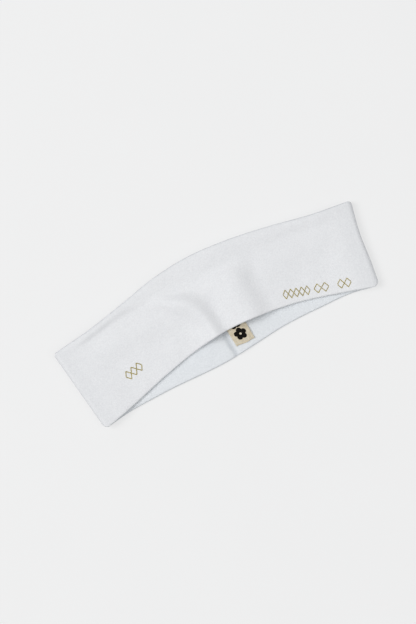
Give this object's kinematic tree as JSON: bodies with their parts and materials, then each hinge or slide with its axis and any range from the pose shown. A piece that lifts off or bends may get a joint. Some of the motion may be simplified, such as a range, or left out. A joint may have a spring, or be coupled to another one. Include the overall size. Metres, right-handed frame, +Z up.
{
  "type": "spa headband",
  "caption": "Closed stretch-cloth spa headband lying flat, with a seamed upper edge, a woven label inside the back and gold embroidery on the front.",
  "frame": {"origin": "on the surface the band lies on, under the middle of its outline", "axes": "+X along the band's length, to the wearer's left as seen from above; +Y across the band, towards its seamed upper edge; +Z up, out of the front's face"},
  "size_m": [0.2578, 0.0904, 0.0166],
  "materials": {
    "brushed_cloth": "white brushed stretch fleece, matte with a short nap",
    "seam_thread": "white spun sewing thread",
    "label_tape": "cream woven tape, fine rib",
    "label_yarn": "black woven yarn",
    "gold_thread": "old-gold embroidery thread, satin stitch",
    "backing_felt": "white non-woven backing"
  },
  "bodies": {
    "back_center_right": {"cloth_back_center_right": "brushed_cloth", "seam_thread_back_center_right": "seam_thread", "cross_seam_allowance": "brushed_cloth", "cross_seam_thread": "seam_thread", "label_tape": "label_tape", "label_mark": "label_yarn", "label_stitches_lower": "seam_thread", "label_stitches_upper": "seam_thread"},
    "back_right": {"cloth_back_right": "brushed_cloth", "seam_thread_back_right": "seam_thread"},
    "front_right": {"cloth_front_right": "brushed_cloth", "seam_thread_front_right": "seam_thread", "gold_row_right_long": "gold_thread", "gold_row_right_middle": "gold_thread", "gold_row_right_end": "gold_thread", "backing_patch_right": "backing_felt"},
    "front_center": {"cloth_front_center": "brushed_cloth", "seam_thread_front_center": "seam_thread"},
    "front_left": {"cloth_front_left": "brushed_cloth", "seam_thread_front_left": "seam_thread", "gold_row_left": "gold_thread", "backing_patch_left": "backing_felt"},
    "back_left": {"cloth_back_left": "brushed_cloth", "seam_thread_back_left": "seam_thread"},
    "back_center_left": {"cloth_back_center_left": "brushed_cloth", "seam_thread_back_center_left": "seam_thread"}
  },
  "joints": [
    {"name": "back_right_bend", "type": "hinge", "parent": "back_center_right", "child": "back_right", "pos_m": [0.04549, 0, 0.0045], "axis": [-0.0505, -0.9987, 0.0003], "range_deg": [0, 60]},
    {"name": "right_fold", "type": "hinge", "parent": "back_right", "child": "front_right", "pos_m": [0.12288, 0, 0.0048], "axis": [0.1353, 0.9908, 0], "range_deg": [0, 120.6]},
    {"name": "front_right_bend", "type": "hinge", "parent": "front_right", "child": "front_center", "pos_m": [0.04549, 0, 0.0051], "axis": [-0.0505, -0.9987, -0.0003], "range_deg": [0, 60]},
    {"name": "front_left_bend", "type": "hinge", "parent": "front_center", "child": "front_left", "pos_m": [-0.04555, 0, 0.0051], "axis": [0.0505, -0.9987, -0.0003], "range_deg": [0, 60]},
    {"name": "left_fold", "type": "hinge", "parent": "front_left", "child": "back_left", "pos_m": [-0.12294, 0, 0.0048], "axis": [-0.1353, 0.9908, 0], "range_deg": [0, 120.6]},
    {"name": "back_left_bend", "type": "hinge", "parent": "back_left", "child": "back_center_left", "pos_m": [-0.04555, 0, 0.0045], "axis": [0.0505, -0.9987, 0.0003], "range_deg": [0, 60]}
  ],
  "couplings": [
    {"joint": "right_fold", "follows": "back_right_bend", "ratio": 2.01},
    {"joint": "front_right_bend", "follows": "back_right_bend", "ratio": 1},
    {"joint": "front_left_bend", "follows": "back_right_bend", "ratio": 1},
    {"joint": "left_fold", "follows": "back_right_bend", "ratio": 2.01},
    {"joint": "back_left_bend", "follows": "back_right_bend", "ratio": 1}
  ]
}
